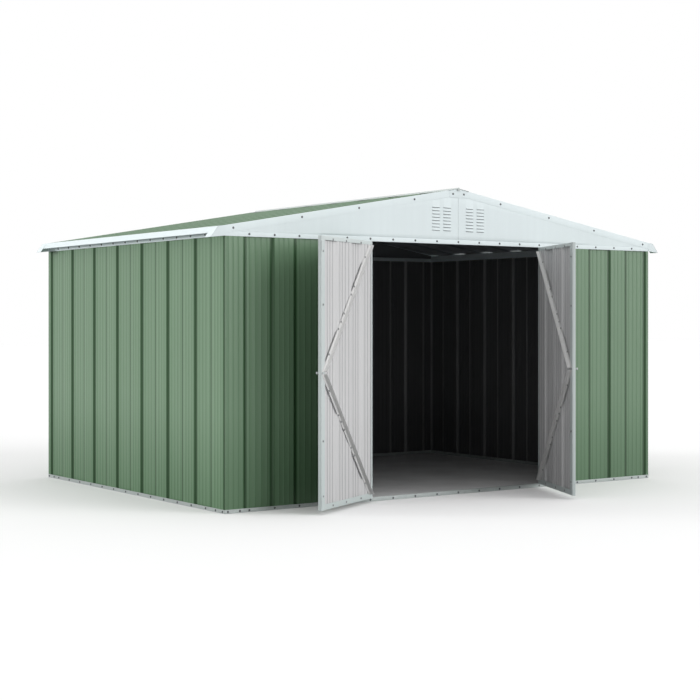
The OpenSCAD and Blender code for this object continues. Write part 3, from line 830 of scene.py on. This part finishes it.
# ---------------- eave trims
# Pale trims with one leg on the roof sheets and a wide flap that hangs down and
# outwards past the top rails, with a small drip lip at its lower edge.
fold_x = rail_high.x + roof_out
fold_z = ridge_h - roof_fall * fold_x + steel_t
eave_leg = 0.030
drip_lip, drip_rise = 0.004, 0.0012
eave_bend = 0.001
tip_low = 1.791
eave_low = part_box("eave_trim_right")[0]
eave_out = rail_high.x + 0.100


def flap_x(z):
    """How far out the flap is at the height z: straight from the fold to the tip."""
    return fold_x + (fold_z - z) * (eave_out - fold_x) / (fold_z - tip_low)


flap_line = folded([
    (flap_x(eave_low.z) - drip_lip, eave_low.z + drip_rise),
    (flap_x(eave_low.z), eave_low.z),
    (fold_x + steel_t / 2, fold_z),
    (fold_x - eave_leg, ridge_h - roof_fall * (fold_x - eave_leg) + steel_t)], eave_bend)
for cad_node, side in (("eave_trim_left", -1), ("eave_trim_right", 1)):
    low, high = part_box(cad_node)
    shell = set_in(skin(flap_line, steel_t, np.linspace(low.y, high.y, 11)),
                   (0, 0, 0), (side, 0, 0), up, north)
    trim = made("folded_" + cad_node, [shell], [pale_coat])
    fitted(trim, "shed", cad_node)

# ---------------- eave corner caps
# Folded caps over the four ends of the eave trims: a short flap over the trim's own,
# and a flat end plate that closes the gap to the gable.
cap_len = 0.080
flap_skin = 0.0013
post_x = rail_high.x - 0.004
end_plate_rise = 0.011
corner_low, corner_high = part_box("eave_corner_caps")
tip_x = eave_out + steel_t / 2
start_x = fold_x + steel_t / 2
cap_flap = np.array([(tip_x + flap_skin, tip_low), (start_x + flap_skin, fold_z)])
end_plate_line = np.stack([np.linspace(0, 1, 5), np.zeros(5)], 1)
end_plate_inner = np.array([(post_x, tip_low + end_plate_rise), (post_x, fold_z)])
caps = []
for end_y, inward in ((corner_low.y, 1), (corner_high.y, -1)):
    flap = set_in(skin(cap_flap, steel_t, [0.0, cap_len]), (0, end_y, 0), east, up,
                  (0, inward, 0))
    points, quads, kinds = skin(end_plate_line, steel_t, [0.0, 0.5, 1.0])
    u, depth, v = points.T
    inner = end_plate_inner[0] + v[:, None] * (end_plate_inner[1] - end_plate_inner[0])
    outer = cap_flap[0] + v[:, None] * (cap_flap[1] - cap_flap[0])
    face = inner + u[:, None] * (outer - inner)
    end_plate = (np.stack([face[:, 0], end_y + inward * depth, face[:, 1]], 1), quads, kinds)
    caps += [flap, mirrored(flap), end_plate, mirrored(end_plate)]
corner_caps = made("eave_end_caps", caps, [pale_coat])
fitted(corner_caps, "shed", "eave_corner_caps")

# ---------------- jamb hinges
# Three butt hinges at each side, of zinc-plated steel. The lower knuckle with its pin is
# welded to a folded plate that two flat rivets hold on the jamb.
joints = {joint["name"]: joint for joint in frame["joints"]}
hinge_line = np.array(joints["left_door_hinge"]["pos_m"]) * (1, 1, 0)
knuckle_r = 0.003
knuckle_l = 0.029
pin_r = 0.0015
hinge_plate_w = 0.022
hinge_plate_back = 0.006
hinge_heights = (0.260, 0.915, 1.570)
edge_break = 0.0004
hinge_plate_bend = 0.0012
rivet_x = 0.013
rivet = [(0.0030, 0.0030, 0.0), (0.0029, 0.0029, 0.0005), (0.0020, 0.0020, 0.0010),
         (0.0008, 0.0008, 0.0012)]


def turned(rings, sides=24, power=1.0, loop=False):
    """Shell of rings round the third axis. Ring k is u * cos(a) * |cos(a)|^(power - 1),
    v * sin(a) * |sin(a)|^(power - 1) at the height h for its u, v and h. Quads in
    strips close both ends, or in a loop the last ring meets the first."""
    u, v, h = np.asarray(rings, float).T[..., None]
    a = (np.arange(sides) + 0.5) * 2 * math.pi / sides
    c, s = np.cos(a), np.sin(a)
    points = np.stack(np.broadcast_arrays(u * c * np.abs(c) ** (power - 1),
                                          v * s * np.abs(s) ** (power - 1), h), -1)
    at = np.arange(points.shape[0] * sides).reshape(-1, sides)
    if loop:
        at = np.vstack([at, at[:1]])
    beside = np.roll(at, -1, axis=1)
    quads = np.stack([at[:-1], beside[:-1], beside[1:], at[1:]], -1).reshape(-1, 4)
    if not loop:
        j = np.arange(sides // 2 - 1)
        lid = np.stack([j, j + 1, sides - 2 - j, sides - 1 - j], 1)
        quads = np.vstack([quads, at[-1][lid], at[0][lid[:, ::-1]]])
    return points.reshape(-1, 3), quads, np.zeros(len(quads), int)


def hung(shell, side, turn):
    """Shell drawn on a closed left leaf, its hinge line at 0, turned open by that angle
    and moved to the hinge; for the right side (1) mirrored as well."""
    placed = set_in(shell, hinge_line, (math.cos(turn), -math.sin(turn), 0),
                    (math.sin(turn), math.cos(turn), 0), up)
    return placed if side < 0 else mirrored(placed)


hinge_zinc = galvanised("hinge_zinc", (0.50, 0.52, 0.53, 1), 0.35, 0.6)
jamb_parts = []
knuckle_and_pin = turned([(r, r, h) for r, h in (
    (knuckle_r - edge_break, 0), (knuckle_r, edge_break),
    (knuckle_r, knuckle_l - edge_break), (knuckle_r - edge_break, knuckle_l),
    (pin_r, knuckle_l), (pin_r, 2 * knuckle_l - edge_break),
    (pin_r - edge_break, 2 * knuckle_l))])
plate_back = hinge_plate_back + steel_t
folded_plate = skin(folded([(-steel_t, 0), (-steel_t, plate_back),
                            (-hinge_plate_w, plate_back)], hinge_plate_bend),
                    steel_t, [0, knuckle_l])
for height in hinge_heights:
    foot = np.array([0, 0, height - knuckle_l])
    jamb_parts += [set_in(shell, foot, east, north, up)
                   for shell in (knuckle_and_pin, folded_plate)]
    jamb_parts += [set_in(turned(rivet, 16),
                          foot + (-rivet_x, hinge_plate_back, knuckle_l * part),
                          east, up, south) for part in (0.25, 0.75)]
jamb_hinges = made("jamb_hinges_pressed", [
    hung(shell, side, 0.0) for side in (-1, 1) for shell in jamb_parts], [hinge_zinc])
fitted(jamb_hinges, "shed", "jamb_hinges")

# ---------------- door leaves
# Each leaf is a rolled green sheet, light grey inside, in a frame of enamelled stiles and
# rails with two angle braces, all screwed. It has a turn handle and hangs on three
# knuckles. The sizes are those of a closed left leaf, its hinge line at 0.
leaf_start, leaf_end = 0.004, 0.789
leaf_low, leaf_top = 0.028, 1.798
leaf_height = leaf_top - leaf_low
leaf_mid = (leaf_low + leaf_top) / 2
leaf_t = 0.024
hinge_stile_w, free_stile_w = 0.025, 0.049
low_rail_h, top_rail_h = 0.038, 0.026
sheet_in = 2 * steel_t
leaf_first = -0.067
leaf_swage = (0.379, 0.497, 0.0035)
leaf_bead = (0.0085, 0.0030)
leaf_bead_shade = (0.0, 1.0)
brace_w, brace_t, brace_bend = 0.025, 0.0015, 0.002
brace_foot = np.array([leaf_start + hinge_stile_w + 0.004, leaf_t, leaf_low + 0.030])
brace_head = np.array([leaf_end - free_stile_w + 0.012, leaf_t, leaf_mid - 0.008])
handle_x = leaf_end - 0.012
cleat_w, cleat_h, cleat_t = 0.031, 0.072, 0.0012
cleat_foot, cleat_edge = 0.028, 0.0003
stile_screw_z = np.array([0.12, 0.475, 1.354, 1.70])
rail_screw_x = np.array([0.19, 0.42, 0.62])
brace_screw_parts = np.array([0.10, 0.34, 0.405, 0.555, 0.62, 0.675, 0.87])
pin_play = 0.00005
knob = [(0.004, -0.001), (0.004, 0.0085), (0.0046, 0.0098), (0.0082, 0.0102),
        (0.0090, 0.0112), (0.0090, 0.0164), (0.0084, 0.0176), (0.0074, 0.0180),
        (0.0062, 0.0174), (0.0020, 0.0172)]
latch = [(0.0086, 0.0056, -0.0005), (0.0090, 0.0060, 0.0004), (0.0090, 0.0060, 0.0026),
         (0.0086, 0.0056, 0.0030)]
knuckle_gap = 0.0005
rivet_zinc = galvanised("rivet_zinc", (0.26, 0.27, 0.275, 1), 0.34, 0.35)
# Shade is painted along the beads of the door sheets, on both faces, and not in their creases
leaf_backing = coat("light_backing", (0.635, 0.635, 0.64, 1), 0.45, streaks=0.02, crease_shading=1.3)
# A darker copy of the pale enamel: shade painted on the door frames
shaded_frame_coat = coat("frame_enamel", (0.59, 0.645, 0.64, 1), 0.40, streaks=0.03, dents=0.0003)
brace_coat = coat("brace_enamel", (0.66, 0.66, 0.655, 1), 0.40, streaks=0.03, dents=0.0003)


def over(shell):
    """The same shell with the upper half of the leaf for its lower half."""
    points, quads, kinds = shell
    return points * (1, 1, -1) + (0, 0, 2 * leaf_mid), quads, kinds


leaf_line, leaf_crease = rolled_line(leaf_first, leaf_end - leaf_start - 2 * sheet_in,
                                     rib_pitch, leaf_bead, leaf_bead_shade, leaf_swage)
leaf_sheet = set_in(
    skin(leaf_line, steel_t, np.linspace(0, leaf_height - 2 * sheet_in, 7)),
    (leaf_start + sheet_in, leaf_t - sheet_in - rib_depth, leaf_low + sheet_in),
    east, north, up)
rail_start = leaf_start + hinge_stile_w
leaf_rails = [channel((rail_start, 0, height), toward, east, size, leaf_t,
                      leaf_end - free_stile_w - rail_start)
              for height, toward, size in ((leaf_low, up, low_rail_h),
                                           (leaf_top, down, top_rail_h))]
cleat = set_in(turned([(cleat_w / 2 - back, cleat_h / 2 - back, height) for back, height in (
    (cleat_edge, 0), (0, cleat_edge), (0, cleat_t - cleat_edge), (cleat_edge, cleat_t))],
                      32, 0.2),
               (leaf_end - steel_t - cleat_w / 2, leaf_t, leaf_low + cleat_foot + cleat_h / 2),
               east, up, north)
stiles = [channel((leaf_start, 0, leaf_low), east, up, hinge_stile_w, leaf_t, leaf_height),
          channel((leaf_end, 0, leaf_low), west, up, free_stile_w, leaf_t, leaf_height),
          cleat, over(cleat)]
brace_line = folded([(0, brace_w), (0, 0), (brace_w, 0)], brace_bend)
brace_run = brace_head - brace_foot
level_share = np.linalg.norm(brace_run) / brace_run[2]
brace = set_in(skin(brace_line, brace_t, [0.0, 0.25, 0.5, 0.75, 1.0]), brace_foot,
               (level_share, 0, 0), north, brace_run)
handle = [set_in(turned([(r, r, h) for r, h in knob]), (handle_x, 0, leaf_mid),
                 east, up, south),
          set_in(turned(latch, 32, 0.3), (handle_x, leaf_t, leaf_mid), east, up, north)]
knuckle_ends = np.array([knuckle_gap, knuckle_gap + knuckle_l])
knuckle = turned([(r, r, h) for r, h in (
    (pin_r + pin_play, knuckle_ends[0]), (knuckle_r - edge_break, knuckle_ends[0]),
    (knuckle_r, knuckle_ends[0] + edge_break), (knuckle_r, knuckle_ends[1] - edge_break),
    (knuckle_r - edge_break, knuckle_ends[1]), (pin_r + pin_play, knuckle_ends[1]))],
                 loop=True)
leaf_plate = skin(np.array([(pin_r + steel_t, -steel_t), (hinge_plate_w, -steel_t)]),
                  steel_t, knuckle_ends)
leaf_knuckles = []
for height in hinge_heights:
    foot = np.array([0, 0, height])
    leaf_knuckles += [set_in(shell, foot, east, north, up) for shell in (knuckle, leaf_plate)]
    leaf_knuckles += [set_in(turned(rivet, 16), foot + (rivet_x, -steel_t, knuckle_l * part),
                             east, up, south) for part in (0.27, 0.77)]

stile_screws = row(leaf_end - free_stile_w / 2, leaf_t, stile_screw_z)
lower_screws = row(rail_screw_x, leaf_t, leaf_low + low_rail_h / 2)
brace_screws = (brace_foot + brace_run * brace_screw_parts[:, None]
                + (brace_w * 0.75 * level_share, brace_t, 0))
lower_places = np.vstack([lower_screws, brace_screws])
leaf_screws = screw_heads(np.vstack([
    stile_screws, lower_places, lower_places * (1, 1, -1) + (0, 0, 2 * leaf_mid)]), north)

for side, body, turn in (
        (-1, "left_door", math.radians(joints["left_door_hinge"]["range_deg"][1])),
        (1, "right_door", -math.radians(joints["right_door_hinge"]["range_deg"][0]))):
    rolled_sheet(body + "_sheet", hung(leaf_sheet, side, turn), leaf_crease,
                 [green_coat, leaf_backing], body)
    for part, shells, finish, slot in (
            ("stiles", stiles, shaded_frame_coat, "door_frame"),
            ("rails", leaf_rails, shaded_frame_coat, "door_frame"),
            ("braces", [brace, over(brace)], brace_coat, "door_frame"),
            ("handle", handle, hinge_zinc, "fittings"),
            ("hinges", leaf_knuckles, hinge_zinc, "fittings")):
        piece = made(body + "_made_" + part, [hung(s, side, turn) for s in shells], [finish])
        fitted(piece, body, body + "_" + part)
    screws = made(body + "_screws", [hung(leaf_screws, side, turn)], [rivet_zinc])
    fitted(screws, body)
